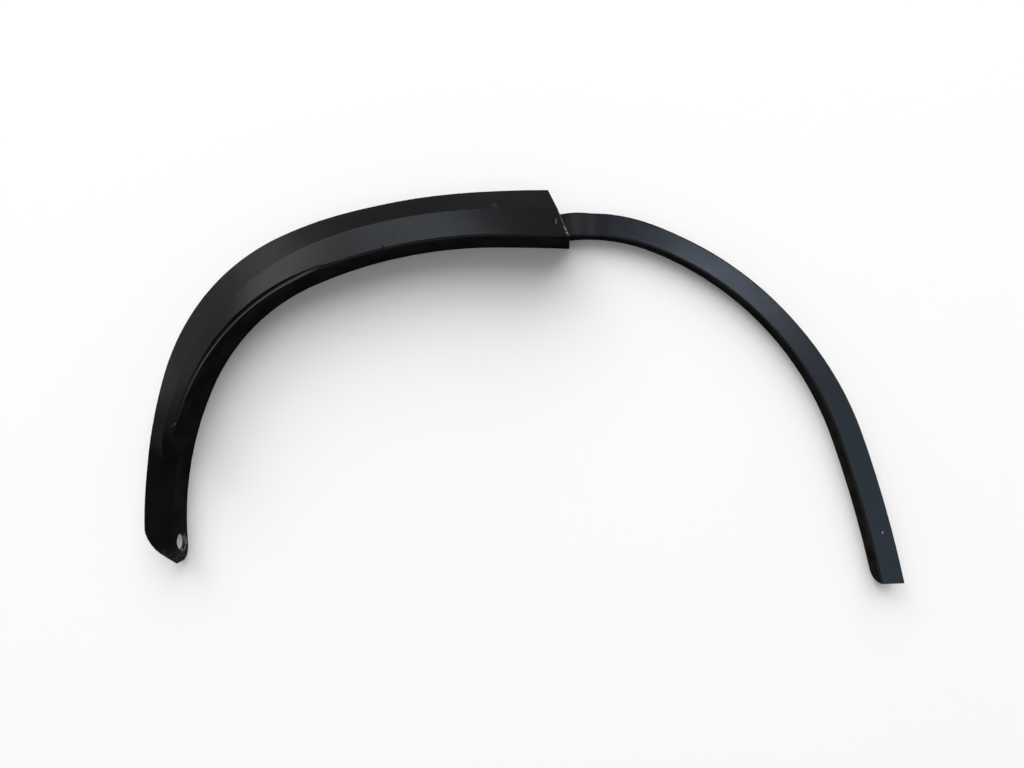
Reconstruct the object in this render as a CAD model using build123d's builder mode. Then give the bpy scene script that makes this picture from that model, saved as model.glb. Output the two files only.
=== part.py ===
from build123d import *
import os
from math import cos, radians, sin, tan

# A wheel arch trim, lying on its back: X runs along the car, Y up the car's side, Z away from it.

# Return wall, seen from outside: tangent arcs from the door end over the roof and down to the tongue.
wall_start_x = 70
wall_start_y = 163.3
wall_heading = 177.8
roof_radius = 2260
roof_turn = 2.3
haunch_radius = 546
haunch_turn = 23.6
shoulder_radius = 235
shoulder_turn = 42.3
leg_radius = 390
leg_turn = 31.4

# Flare, by distance along the return wall from the door end.
skin = 3
back_trim = 1
brow_height_door = 74
brow_height_leg = 65
brow_fall_begin = 10
brow_fall_end = 230
rim_height = 38
rim_lip = 8
face_width_door = 60.3
face_width_roof = 56.7
face_width_haunch = 58.9
face_waist_begin = 160
face_waist_end = 190
face_narrow_begin = 300
face_narrow_end = 665
crease_place = 0.57
crease_crown = 7.5
crease_crown_leg = 0.8
crease_fade_begin = 180
crease_fade_end = 470
corner_gusset = 6
skin_slope_factor = 1.15
edge_round = 1.5
station_pitch = 12
door_cut_angle = 24.4
door_cut_lean = 3.8
door_cut_inset = 0.8

# Ledge cut into the brow's edge, deep at the shoulder and shallow down the leg.
ledge_begin = 260
ledge_full = 345
ledge_fade_begin = 390
ledge_fade_end = 530
ledge_drop = 6
ledge_drop_leg = 2.4
ledge_width = 4.2
ledge_width_leg = 3
ledge_draft = 1.2
ledge_cut_height = 15

# Split in the brow's edge.
nick_place = 215
nick_width = 1.6
nick_depth = 4

# Tongue under the flare's low end, the fold that drops to it, and its fastener hole.
tongue_width = 32.5
tongue_height = 33
drop_begin = 536
drop_length = 54
fold_lag = 14
fold_place = 0.42
tip_slant = 43
tip_straight = 20
tip_turn = 50
tip_reach = 29.8
tip_inset = 0.4
tongue_back_round = 18
hole_diameter = 18
hole_height = 14.5
hole_from_end = 22.8
seat_diameter = 26
seat_angle = 130
boss_diameter = 28
boss_depth = 4

# Band that carries on from the flare's door end.
band_start_x = 45
band_start_y = 169.25
band_heading = 12.65
root_radius = 212.8
root_turn = 34
bow_radius = 374.7
bow_turn = 49
band_leg_radius = 1410
band_leg_turn = 8.2
band_length = 626.1
band_height = 23.4
band_width_root = 26.8
band_width_bow = 24.6
band_width_leg = 27
band_narrow_begin = 50
band_narrow_end = 160
band_widen_begin = 270
band_widen_end = 480
band_root_rise = 7
root_rise_begin = 27
root_rise_end = 51
band_end_angle = 2.1
band_back_round = 14

# Back of the moulding: ribs and clip towers.
rib = 2
rib_foot = 12
rib_places = (165, 300, 425, 520)
tower_places = (95, 235, 365, 475)
tower_length = 24
tower_depth = 17
tower_wall = 2.4
tower_from_rim = 6
tower_set_back = 2
clip_slot = 8
band_tower_places = (150, 300, 470)
band_tower_height = 12

up = Vector(0, 0, 1)
half_skin = skin / 2
skin_drop = skin * skin_slope_factor


def between(a, b, share):
    return a + (b - a) * share


def ramp(s, begin, end):
    """Share of a smooth change from 0 at begin to 1 at end."""
    x = min(max((s - begin) / (end - begin), 0), 1)
    return x**3 * (6 * x**2 - 15 * x + 10)


def spread(begin, end, count):
    return [between(begin, end, i / count) for i in range(count)]


def heading(degrees):
    return (cos(radians(degrees)), sin(radians(degrees)))


def across(line, s, side=1):
    """Plane square to a line at distance s along it: x points outwards, y up."""
    ahead = line.tangent_at(s, position_mode=PositionMode.LENGTH)
    out = Vector(ahead.Y, -ahead.X) * side
    return Plane(line.position_at(s, position_mode=PositionMode.LENGTH), x_dir=out, z_dir=out.cross(up))


def seen_from_outside(line, s, out, side=1):
    """Place in plan at distance s along a line and distance out from it: y points inwards."""
    square = across(line, s, side)
    return Plane(square.origin + square.x_dir * out, x_dir=-square.z_dir, z_dir=up).location


with BuildLine() as flare_path:
    roof = JernArc((wall_start_x, wall_start_y), heading(wall_heading), roof_radius, roof_turn)
    haunch = JernArc(roof @ 1, roof % 1, haunch_radius, haunch_turn)
    shoulder = JernArc(haunch @ 1, haunch % 1, shoulder_radius, shoulder_turn)
    leg = JernArc(shoulder @ 1, shoulder % 1, leg_radius, leg_turn)
flare_line = flare_path.wire()
flare_length = flare_line.length

with BuildLine() as band_path:
    root = JernArc((band_start_x, band_start_y), heading(band_heading), root_radius, -root_turn)
    bow = JernArc(root @ 1, root % 1, bow_radius, -bow_turn)
    JernArc(bow @ 1, bow % 1, band_leg_radius, -band_leg_turn)
band_line = band_path.wire()

door_square = across(flare_line, door_cut_inset)
door_lean = tan(radians(door_cut_lean))
door_cut = Plane(
    door_square.origin,
    x_dir=door_square.x_dir.rotate(Axis.Z, door_cut_angle),
    z_dir=door_square.z_dir.rotate(Axis.Z, door_cut_angle) + up * door_lean,
)


def back_corner(line, s, radius):
    """What rounds off a return wall's back corner, where the wall ends at distance s."""
    ahead = line.tangent_at(s, position_mode=PositionMode.LENGTH)
    end = line.position_at(s, position_mode=PositionMode.LENGTH)
    with BuildSketch(Plane(end, x_dir=ahead, z_dir=ahead.cross(up)), mode=Mode.PRIVATE) as corner:
        with BuildLine():
            curve = JernArc((-radius, 0), (1, 0), radius, 90)
            Polyline(curve @ 1, (radius, radius), (radius, -radius), (-radius, -radius), curve @ 0)
        make_face()
    return corner.sketch


def flare_sizes(s):
    """Face width, brow height, and the crease's place and height, at distance s along the wall."""
    width = between(face_width_door, face_width_roof, ramp(s, 0, face_waist_begin))
    width = between(width, face_width_haunch, ramp(s, face_waist_end, face_narrow_begin))
    width = between(width, tongue_width, ramp(s, face_narrow_begin, face_narrow_end))
    brow = between(brow_height_door, brow_height_leg, ramp(s, brow_fall_begin, brow_fall_end))
    lagging_brow = between(brow, tongue_height, ramp(s - fold_lag, drop_begin, drop_begin + drop_length))
    brow = between(brow, tongue_height, ramp(s, drop_begin, drop_begin + drop_length))
    fade = ramp(s, crease_fade_begin, crease_fade_end)
    place = between(crease_place, fold_place, fade)
    crown = between(crease_crown, crease_crown_leg, fade)
    return width, brow, place * width, between(lagging_brow, rim_height, place) + crown


def flare_outline(s):
    """Section of the flare: return wall, face in two facets, turned-down rim, and the line inside."""
    width, brow, fold, crease = flare_sizes(s)
    inner_rim = between(crease, rim_height, (width - skin - fold) / (width - fold)) - skin_drop
    return [
        (0, -back_trim),
        (0, brow),
        (fold, crease),
        (width, rim_height),
        (width, rim_height - rim_lip),
        (width - skin, rim_height - rim_lip),
        (width - skin, inner_rim),
        (fold, crease - skin_drop),
        (skin + corner_gusset, between(brow, crease, (skin + corner_gusset) / fold) - skin_drop),
        (skin, between(brow, crease, skin / fold) - skin - corner_gusset),
        (skin, -back_trim),
    ]


def end_wall_outline():
    """Wall that closes the flare along the door cut, down to the foot of the band's wall."""
    width, brow, fold, crease = flare_sizes(0)
    slant = 1 / cos(radians(door_cut_angle))
    lean = door_lean * tan(radians(door_cut_angle))
    behind = -door_cut.to_local_coords(band_line @ 0).Z / (band_line % 0).dot(door_cut.z_dir)
    band_wall = band_line.position_at(behind, position_mode=PositionMode.LENGTH)
    corners = [
        (half_skin, half_skin),
        (half_skin, brow - skin),
        (fold, crease - half_skin),
        (width - half_skin, rim_height - half_skin),
        (width - half_skin, rim_height - rim_lip),
    ]
    outline = [(out * slant + height * lean, height) for out, height in corners]
    return outline + [(door_cut.to_local_coords(band_wall).X + skin, half_skin)]


def band_width(s):
    width = between(band_width_root, band_width_bow, ramp(s, band_narrow_begin, band_narrow_end))
    return between(width, band_width_leg, ramp(s, band_widen_begin, band_widen_end))


def core_outline(s):
    """Space under the flare's face, out to the middle of its skin."""
    width, brow, fold, crease = flare_sizes(s)
    gusset = skin + corner_gusset
    return [
        (half_skin, rib_foot),
        (half_skin, brow - gusset),
        (gusset, between(brow, crease, gusset / fold) - half_skin),
        (fold, crease - half_skin),
        (width - half_skin, rim_height - half_skin),
        (width - half_skin, rim_height - rim_lip),
    ]


stations = spread(0, flare_length, round(flare_length / station_pitch)) + [flare_length]

with BuildPart() as core:
    for s in stations:
        with BuildSketch(across(flare_line, s)):
            with BuildLine():
                Polyline(*core_outline(s), close=True)
            make_face()
    loft()

with BuildPart() as ribs:
    add(core.part)
    with BuildSketch():
        with Locations([seen_from_outside(flare_line, s, face_width_door / 2) for s in rib_places]):
            Rectangle(rib, 2 * face_width_door)
    extrude(amount=brow_height_door, mode=Mode.INTERSECT)

band_stations = spread(0, band_line.length, round(band_line.length / station_pitch)) + [band_line.length]
band_cut = Plane(across(band_line, band_length).origin, z_dir=(*heading(90 + band_end_angle), 0))

tower_foot = rim_height - rim_lip + tower_set_back
tower_spots = []
for s in tower_places:
    rim_inside = flare_sizes(s)[0] - skin - tower_from_rim
    tower_spots.append(seen_from_outside(flare_line, s, rim_inside - tower_depth / 2))
band_tower_foot = band_height - skin - band_tower_height
band_tower_spots = []
for s in band_tower_places:
    band_tower_spots.append(seen_from_outside(band_line, s, (band_width(s) + skin) / 2, -1))

leg_end = across(flare_line, flare_length)
ledge_end = drop_begin + drop_length / 2
ledge_steps = round((ledge_end - ledge_begin) / (2 * station_pitch))
tip_across = tip_reach - tip_straight * cos(radians(tip_slant))
tip_radius = tip_across / (sin(radians(tip_slant + tip_turn)) - sin(radians(tip_slant)))
tip_plane = Plane(leg_end.origin, x_dir=leg_end.x_dir, z_dir=up)
hole_square = across(flare_line, flare_length - hole_from_end)
hole_spot = hole_square.origin + up * hole_height
hole_face = Plane(hole_spot, x_dir=hole_square.z_dir, z_dir=-hole_square.x_dir)

# Flare with its fold, ledge and tongue.
with BuildPart() as flare:
    for s in stations:
        outline = flare_outline(s)
        with BuildSketch(across(flare_line, s)) as section:
            with BuildLine():
                Polyline(*outline, close=True)
            make_face()
            corners = section.vertices()
            fillet([corners.sort_by_distance(outline[i])[0] for i in (1, 3)], edge_round)
    loft()
    split(bisect_by=door_cut, keep=Keep.BOTTOM)

    for s in spread(ledge_begin, ledge_end, ledge_steps) + [ledge_end]:
        fade = ramp(s, ledge_fade_begin, ledge_fade_end)
        depth = between(ledge_drop, ledge_drop_leg, fade) * ramp(s, ledge_begin, ledge_full)
        level = brow_height_leg - depth
        ledge = between(ledge_width, ledge_width_leg, fade)
        with BuildSketch(across(flare_line, s)):
            with BuildLine():
                Polyline(
                    (-ledge_width, level),
                    (ledge, level),
                    (ledge + ledge_draft, level + ledge_cut_height),
                    (-ledge_width, level + ledge_cut_height),
                    close=True,
                )
            make_face()
    loft(mode=Mode.SUBTRACT)

    with BuildSketch(tip_plane):
        with BuildLine():
            start = Vector(0, -tip_inset)
            slant = Line(start, start + Vector(*heading(-tip_slant)) * tip_straight)
            tip = JernArc(slant @ 1, slant % 1, tip_radius, -tip_turn)
            clear = slant @ 0 - (slant % 0) * tongue_width
            far = 2 * tongue_width
            Polyline(tip @ 1, (far, (tip @ 1).Y), (far, far), (clear.X, far), clear, slant @ 0)
        make_face()
    extrude(amount=brow_height_door, mode=Mode.SUBTRACT)

    tongue_corner = back_corner(flare_line, flare_length, tongue_back_round)
    extrude(tongue_corner, amount=tongue_width, both=True, mode=Mode.SUBTRACT)

    with BuildSketch(across(flare_line, nick_place)):
        with Locations((0, flare_sizes(nick_place)[1])):
            Rectangle(2 * nick_depth, 2 * nick_depth)
    extrude(amount=nick_width / 2, both=True, mode=Mode.SUBTRACT)

    with BuildSketch(Plane(hole_spot, x_dir=hole_square.z_dir, z_dir=hole_square.x_dir)):
        Circle(boss_diameter / 2)
    extrude(amount=boss_depth)
    with Locations(hole_face):
        CounterSinkHole(hole_diameter / 2, seat_diameter / 2, boss_depth, seat_angle)

# Band: a face and a return wall, with its root turned up to the flare's end wall.
with BuildPart() as band:
    for s in band_stations:
        height = band_height + band_root_rise * (1 - ramp(s, root_rise_begin, root_rise_end))
        width = band_width(s)
        with BuildSketch(across(band_line, s, -1)) as section:
            with BuildLine():
                Polyline(
                    (0, -back_trim),
                    (0, height),
                    (width, height),
                    (width, height - skin),
                    (skin, height - skin),
                    (skin, -back_trim),
                    close=True,
                )
            make_face()
            corners = section.vertices()
            fillet([corners.sort_by_distance(p)[0] for p in ((0, height), (width, height))], edge_round)
    loft()
    split(bisect_by=door_cut.offset(-half_skin), keep=Keep.TOP)
    split(bisect_by=band_cut, keep=Keep.TOP)
    band_corner = back_corner(band_line, band_length, band_back_round)
    extrude(band_corner, amount=band_width_leg, both=True, mode=Mode.SUBTRACT)

# Moulding as one piece, with the end wall, the tongue's lip and the clip towers, its back edge cut flat.
with BuildPart() as tip_lip:
    add(core.part)
    with BuildSketch(tip_plane.offset(rim_height - rim_lip)):
        with BuildLine():
            start = Vector(0, -tip_inset) + Vector(*heading(-tip_slant - 90)) * half_skin
            lip_slant = Line(start, start + Vector(*heading(-tip_slant)) * tip_straight)
            JernArc(lip_slant @ 1, lip_slant % 1, tip_radius - half_skin, -tip_turn)
        trace(line_width=skin)
    extrude(amount=brow_height_door, mode=Mode.INTERSECT)

with BuildPart() as towers:
    add(core.part)
    with BuildSketch(Plane.XY.offset(tower_foot)):
        with Locations(tower_spots):
            Rectangle(tower_length, tower_depth)
            with Locations((0, tower_wall / 2)):
                Rectangle(tower_length - 2 * tower_wall, tower_depth - tower_wall, mode=Mode.SUBTRACT)
    extrude(amount=brow_height_door, mode=Mode.INTERSECT)

with BuildPart() as moulding:
    add(flare.part)
    add(band.part)
    add(ribs.part)
    add(tip_lip.part)
    add(towers.part)
    with BuildSketch(door_cut):
        with BuildLine():
            Polyline(*end_wall_outline(), close=True)
        make_face()
    extrude(amount=-skin)
    with BuildSketch(Plane.XY.offset(band_tower_foot)):
        with Locations(band_tower_spots):
            Rectangle(tower_length, tower_depth)
            with Locations((0, tower_wall / 2)):
                Rectangle(tower_length - 2 * tower_wall, tower_depth - tower_wall, mode=Mode.SUBTRACT)
    extrude(amount=band_height - half_skin - band_tower_foot)
    for foot, spots in ((tower_foot, tower_spots), (band_tower_foot, band_tower_spots)):
        with BuildSketch(Plane.XY.offset(foot)):
            with Locations(spots):
                Rectangle(tower_length, tower_depth)
                Circle(clip_slot / 2, mode=Mode.SUBTRACT)
                with Locations((0, tower_depth / 4)):
                    Rectangle(clip_slot, tower_depth / 2, mode=Mode.SUBTRACT)
        extrude(amount=tower_wall)
    split(bisect_by=Plane.XY, keep=Keep.TOP)

box = moulding.part.bounding_box()
with BuildPart() as wheel_arch_trim:
    add(moulding.part.moved(Location((-box.center().X, -box.center().Y, -box.min.Z))))

os.makedirs("parts", exist_ok=True)
wheel_arch_trim.part.label = "wheel_arch_trim"
export_step(wheel_arch_trim.part, "parts/wheel_arch_trim.step")
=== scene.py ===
from math import cos, pi, radians, sin, tan

import bpy
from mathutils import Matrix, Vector

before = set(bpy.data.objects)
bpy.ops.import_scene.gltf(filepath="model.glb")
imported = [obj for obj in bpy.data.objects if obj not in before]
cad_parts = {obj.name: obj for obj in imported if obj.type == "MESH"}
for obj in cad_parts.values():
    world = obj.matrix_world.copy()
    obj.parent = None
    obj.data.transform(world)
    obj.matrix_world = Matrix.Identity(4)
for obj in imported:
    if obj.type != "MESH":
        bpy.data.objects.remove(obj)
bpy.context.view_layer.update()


# Wheel arch trim: one injection moulding in black polypropylene, a wide flare with a narrow band.
# The mould gives its face a fine satin grain, and leaves the wall around the wheel and the back dull.
# It has been on a car: its edges are rubbed and chipped, and dust sits by the fixing hole.
class Value:
    """A socket in a material's nodes. Python's operators on it add Math nodes."""

    def __init__(self, tree, socket=None):
        self.tree = tree
        self.socket = socket

    def node(self, kind, inputs=None, output=0, **settings):
        """Adds a node with its settings, then its values or links, and gives one of its outputs."""
        new = self.tree.nodes.new(kind)
        for name, setting in settings.items():
            setattr(new, name, setting)
        for name, value in (inputs or {}).items():
            if isinstance(value, Value):
                self.tree.links.new(value.socket, new.inputs[name])
            else:
                new.inputs[name].default_value = value
        return Value(self.tree, new.outputs[output] if new.outputs else None)

    def maths(self, operation, a, b):
        """A Math node on two values."""
        return self.node("ShaderNodeMath", {0: a, 1: b}, operation=operation)

    def __add__(self, other):
        return self.maths("ADD", self, other)

    __radd__ = __add__

    def __sub__(self, other):
        return self.maths("SUBTRACT", self, other)

    def __rsub__(self, other):
        return self.maths("SUBTRACT", other, self)

    def __mul__(self, other):
        return self.maths("MULTIPLY", self, other)

    __rmul__ = __mul__


def new_material(name):
    """A material with an empty node tree, and the start of its expressions."""
    material = bpy.data.materials.new(name)
    material.use_nodes = True
    material.node_tree.nodes.clear()
    return material, Value(material.node_tree)


# The functions below add to the tree that nodes stands for: the plastic's, and later the room's.
black_plastic, nodes = new_material("black_plastic")


def vector(operation, a, b=(0, 0, 0), output="Vector"):
    """A Vector Math node on two vectors."""
    return nodes.node("ShaderNodeVectorMath", {0: a, 1: b}, output, operation=operation)


def rise(value, low, high):
    """Goes smoothly from 0 to 1 as a value goes from low to high, or from 1 to 0 if low is larger."""
    limits = {"Value": value, "From Min": min(low, high), "From Max": max(low, high)}
    up = nodes.node("ShaderNodeMapRange", limits, interpolation_type="SMOOTHSTEP")
    return up if low < high else 1 - up


def blend(amount, first, second):
    """One colour turned into another by an amount."""
    return nodes.node("ShaderNodeMix", {0: amount, 6: first, 7: second}, 2, data_type="RGBA")


# Where a point lies, in the round and in plan, and how far it faces the wheel or the front.
x_axis, y_axis, z_axis = (1, 0, 0), (0, 1, 0), (0, 0, 1)
level = (1, 1, 0)
wheel_centre = (-0.01, -0.20, 0)
place = nodes.node("ShaderNodeTexCoord", output="Object")
facing = nodes.node("ShaderNodeTexCoord", output="Normal")
plan = vector("MULTIPLY", place, level)
across = vector("DOT_PRODUCT", place, x_axis, "Value")
along_leg = vector("DOT_PRODUCT", place, y_axis, "Value")
upward = vector("DOT_PRODUCT", facing, z_axis, "Value")
to_wheel = vector("MULTIPLY", vector("SUBTRACT", wheel_centre, place), level)
inward = vector("DOT_PRODUCT", vector("NORMALIZE", to_wheel), facing, "Value")


def speckle(scale, detail=3):
    """A noise between 0 and 1 over the moulding, with its scale in spots per metre."""
    settings = {"Vector": place, "Scale": scale, "Detail": detail}
    return nodes.node("ShaderNodeTexNoise", settings, "Fac")


def mark(start, end, width, strength=1):
    """A scratch between two points of the plan, in metres, which fades over its width."""
    core = 0.4 * width
    along = Vector((*end, 0)) - Vector((*start, 0))
    from_start = vector("SUBTRACT", plan, (*start, 0))
    share = vector("DOT_PRODUCT", from_start, along / along.length_squared, "Value")
    share = nodes.node("ShaderNodeClamp", {"Value": share})
    nearest = nodes.node("ShaderNodeCombineXYZ", {"X": share * along.x, "Y": share * along.y})
    return strength * rise(vector("DISTANCE", from_start, nearest, "Value"), width, core)


# The wall around the wheel and the back are dull, and the steep outer slope and the leg's foot
# are nearly so.
slope_dullness = 0.76
foot_dullness = 0.88
wheel_wall = rise(inward, 0.3, 0.6) * rise(upward, 0.45, 0.3)
back = rise(upward, -0.1, -0.3)
outer_slope = rise(inward, -0.42, -0.62)
leg_foot = rise(across, -0.34, -0.37) * rise(along_leg, 0.05, -0.04)
dull = nodes.maths("MAXIMUM", wheel_wall, back)
dull = nodes.maths("MAXIMUM", dull, slope_dullness * outer_slope)
dull = nodes.maths("MAXIMUM", dull, foot_dullness * leg_foot)

# The mould leaves the edges slightly round. They are rubbed grey, most on the cut end.
edge_radius = 0.001
cut_end_width = 0.007
rounded = nodes.node("ShaderNodeBevel", {"Radius": edge_radius}, samples=8)
edge = 1 - vector("DOT_PRODUCT", rounded, facing, "Value")
cut_end = mark((0.0325, 0.2000), (0.0450, 0.1690), cut_end_width)
rubbed_and_highlight = rise(edge, 0.01, 0.12) * rise(speckle(160), 0.4, 0.62) * (0.3 + 0.7 * cut_end)

# Along an arc on the ledge, the rubbed grey paints a highlight that grows fainter towards the foot of
# the leg.
ledge_centre = (-0.1441, -0.1074, 0)
ledge_radius = 0.2601
ledge_half = 0.0023
ledge_core = 0.3 * ledge_half
reach = vector("DISTANCE", plan, ledge_centre, "Value")
ledge_highlight = rise(reach, ledge_radius - ledge_half, ledge_radius - ledge_core)
ledge_highlight = ledge_highlight * rise(reach, ledge_radius + ledge_half, ledge_radius + ledge_core)
ledge_highlight = ledge_highlight * rise(across, -0.23, -0.26) * rise(along_leg, -0.06, -0.03)
ledge_highlight = ledge_highlight * rise(upward, 0.1, 0.3)
ledge_highlight_fade = 0.15 + 0.85 * rise(along_leg, -0.04, 0.10)
# The painted ledge highlight joins the rubbed edges.
rubbed_and_highlight = nodes.maths("MAXIMUM", rubbed_and_highlight, ledge_highlight * ledge_highlight_fade)

# Whitened chips, broken up into specks.
beside_cut_end = mark((0.0307, 0.1892), (0.0307, 0.1848), 0.0013, 0.16)
low_on_cut_end = mark((0.0389, 0.1823), (0.0425, 0.1727), 0.0013, 0.16)
along_cut_end = mark((0.0335, 0.2000), (0.0440, 0.1695), 0.0012, 0.12)
scratch_up = mark((-0.0415, 0.2066), (-0.0383, 0.2094), 0.0014, 0.035)
scratch_down = mark((-0.0383, 0.2094), (-0.0357, 0.2033), 0.0014, 0.035)
burr_on_ledge = mark((-0.3992, -0.0419), (-0.3961, -0.0388), 0.0012, 0.16)
speck_on_band = mark((0.4176, -0.1690), (0.4180, -0.1700), 0.0014, 0.8)
chips = beside_cut_end + low_on_cut_end + along_cut_end + scratch_up + scratch_down
chips = chips + burr_on_ledge + speck_on_band
chips = chips * rise(upward, 0.1, 0.4) * (2 * rise(speckle(500), 0.3, 0.7))

# A fine moulded grain, with patches that have been wiped or handled, and a rougher band root.
grain_size = {"Strength": 0.12, "Distance": 0.0002}
grain_height = speckle(1500, 2)
grain = nodes.node("ShaderNodeBump", {**grain_size, "Height": grain_height, "Normal": rounded})
patches = speckle(14, 4)
band_root = rise(across, 0.040, 0.050) * rise(across, 0.100, 0.085)

# The satin plastic of the face.
satin_black = (0.0035, 0.0036, 0.0042, 1)
satin_worn = (0.0052, 0.0053, 0.0056, 1)
# The grey of the rubbed edges, which also paints the highlight along the ledge.
rubbed_and_highlight_grey = (0.082, 0.084, 0.087, 1)
chip_white = (0.32, 0.33, 0.34, 1)
colour = blend(patches, satin_black, satin_worn)
colour = blend(rubbed_and_highlight, colour, rubbed_and_highlight_grey)
colour = blend(chips, colour, chip_white)
roughness = 0.19 + 0.1 * patches + 0.04 * speckle(90) + 0.25 * rubbed_and_highlight + 0.16 * band_root
satin = nodes.node(
    "ShaderNodeBsdfPrincipled",
    {
        "Base Color": colour,
        "Roughness": roughness,
        "Specular IOR Level": 0.3,
        "Normal": grain,
    },
)

# Road dust on the dull plastic: scuffed around the fixing hole and at the tip, olive at the band's end.
fixing_hole = (-0.4100, -0.1830, 0.0120)
scuff_reach = 0.0135
scuff_core = 0.008
tip_scuff = 0.12
by_hole = rise(vector("DISTANCE", place, fixing_hole, "Value"), scuff_reach, scuff_core)
scuffed = by_hole * rise(speckle(380), 0.42, 0.6)
tip = rise(along_leg, -0.182, -0.198) * rise(across, -0.35, -0.38)
scuffed = nodes.maths("MAXIMUM", scuffed, tip_scuff * tip * rise(speckle(300), 0.4, 0.6))
band_end = rise(across, 0.34, 0.38) * rise(speckle(70), 0.35, 0.6)
dusty = rise(speckle(35, 4), 0.35, 0.7)

# The dull plastic of the wall, the back and the slope, which has no shine.
slope_black = (0.0032, 0.0032, 0.0038, 1)
slope_dusty = (0.0046, 0.0046, 0.0051, 1)
wall_black = (0.0060, 0.0060, 0.0063, 1)
wall_dusty = (0.0115, 0.0115, 0.0110, 1)
scuff_grey = (0.200, 0.200, 0.195, 1)
olive_dust = (0.0150, 0.0145, 0.0090, 1)
wall_colour = blend(dusty, wall_black, wall_dusty)
slope_colour = blend(dusty, slope_black, slope_dusty)
colour = blend(rise(upward, 0.3, 0.45), wall_colour, slope_colour)
colour = blend(band_end, colour, olive_dust)
# Rubbed edges and the painted ledge highlight, at half strength on the dull plastic.
colour = blend(0.5 * rubbed_and_highlight, colour, rubbed_and_highlight_grey)
colour = blend(scuffed, colour, scuff_grey)
colour = blend(chips, colour, chip_white)
matt = nodes.node(
    "ShaderNodeBsdfPrincipled",
    {
        "Base Color": colour,
        "Roughness": 0.62 + 0.16 * patches,
        "Specular IOR Level": 0,
        "Normal": grain,
    },
)

surface = nodes.node("ShaderNodeMixShader", {0: dull, 1: satin, 2: matt})
nodes.node("ShaderNodeOutputMaterial", {"Surface": surface})

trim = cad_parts["wheel_arch_trim"]
for slot in trim.material_slots:
    slot.material = black_plastic


# Studio: a round white floor that takes the soft shadow, a pale grey room, and round softboxes.
# The two boxes that light the floor are hidden from reflections, and the side boxes, which are
# tinted, show only in reflections, so that the floor stays white.
floor_radius = 6
floor_sides = 128
floor_white = (0.94, 0.94, 0.94, 1)
bpy.ops.object.select_all(action="DESELECT")
bpy.ops.mesh.primitive_circle_add(vertices=floor_sides, radius=floor_radius, fill_type="NGON")
floor = bpy.context.object
floor.name = "studio_floor"
white, nodes = new_material("white_floor")
paint = nodes.node("ShaderNodeBsdfDiffuse", {"Color": floor_white})
nodes.node("ShaderNodeOutputMaterial", {"Surface": paint})
floor.data.materials.append(white)


def softbox(name, azimuth, elevation, spread, radiance, colour):
    """A round lamp that looks at the trim, with its direction and its half width in degrees."""
    distance = 14
    turn = radians(azimuth)
    away = Vector((cos(turn), sin(turn), tan(radians(elevation)))).normalized()
    lamp = bpy.data.lights.new("softbox_" + name, "AREA")
    lamp.shape = "DISK"
    lamp.size = 2 * distance * tan(radians(spread))
    lamp.energy = radiance * (pi * lamp.size / 2) ** 2
    lamp.color = colour
    holder = bpy.data.objects.new(lamp.name, lamp)
    holder.location = away * distance
    holder.rotation_euler = away.to_track_quat("Z", "Y").to_euler()
    bpy.context.scene.collection.objects.link(holder)
    return holder


floor_boxes = [
    softbox("overhead", 92, 42, 34, 3.05, (1, 0.995, 0.99)),
    softbox("fill", 270, 80, 30, 0.45, (1, 1, 1)),
]
for box in floor_boxes:
    box.visible_glossy = False
softbox("left", 127, 27, 15, 3.1, (1, 1, 0.98))
side_boxes = [
    softbox("top", 108, 47, 8, 2.9, (0.75, 0.86, 1)),
    softbox("right", 26, 71.5, 4, 18, (0.66, 0.79, 1)),
    softbox("low_right", 30, 47, 8, 4, (0.92, 0.95, 1)),
    softbox("far_right", 338, 55, 16, 1.6, (0.52, 0.74, 1)),
]
for box in side_boxes:
    box.visible_diffuse = False

wall_paint = (0.5, 0.5, 0.5, 1)
ceiling_paint = (0.16, 0.16, 0.165, 1)
room = bpy.data.worlds.new("room")
room.use_nodes = True
room.node_tree.nodes.clear()
nodes = Value(room.node_tree)
direction = nodes.node("ShaderNodeTexCoord", output="Generated")
height = vector("DOT_PRODUCT", direction, z_axis, "Value")
paint = blend(rise(height, 0.1, 0.6), wall_paint, ceiling_paint)
glow = nodes.node("ShaderNodeBackground", {"Color": paint, "Strength": 1})
nodes.node("ShaderNodeOutputWorld", {"Surface": glow})
bpy.context.scene.world = room


# Camera: a short lens that looks straight down at the trim.
# Its foot and its height over the floor are in metres, its lens and its sensor in millimetres.
camera_foot = (-0.0183565, 0.0055397)
camera_height = 0.860
lens = bpy.data.cameras.new("camera")
lens.lens = 25
lens.sensor_width = 36
camera = bpy.data.objects.new("camera", lens)
camera.location = (*camera_foot, camera_height)
bpy.context.scene.collection.objects.link(camera)
bpy.context.scene.camera = camera
bpy.context.scene.view_settings.view_transform = "Standard"
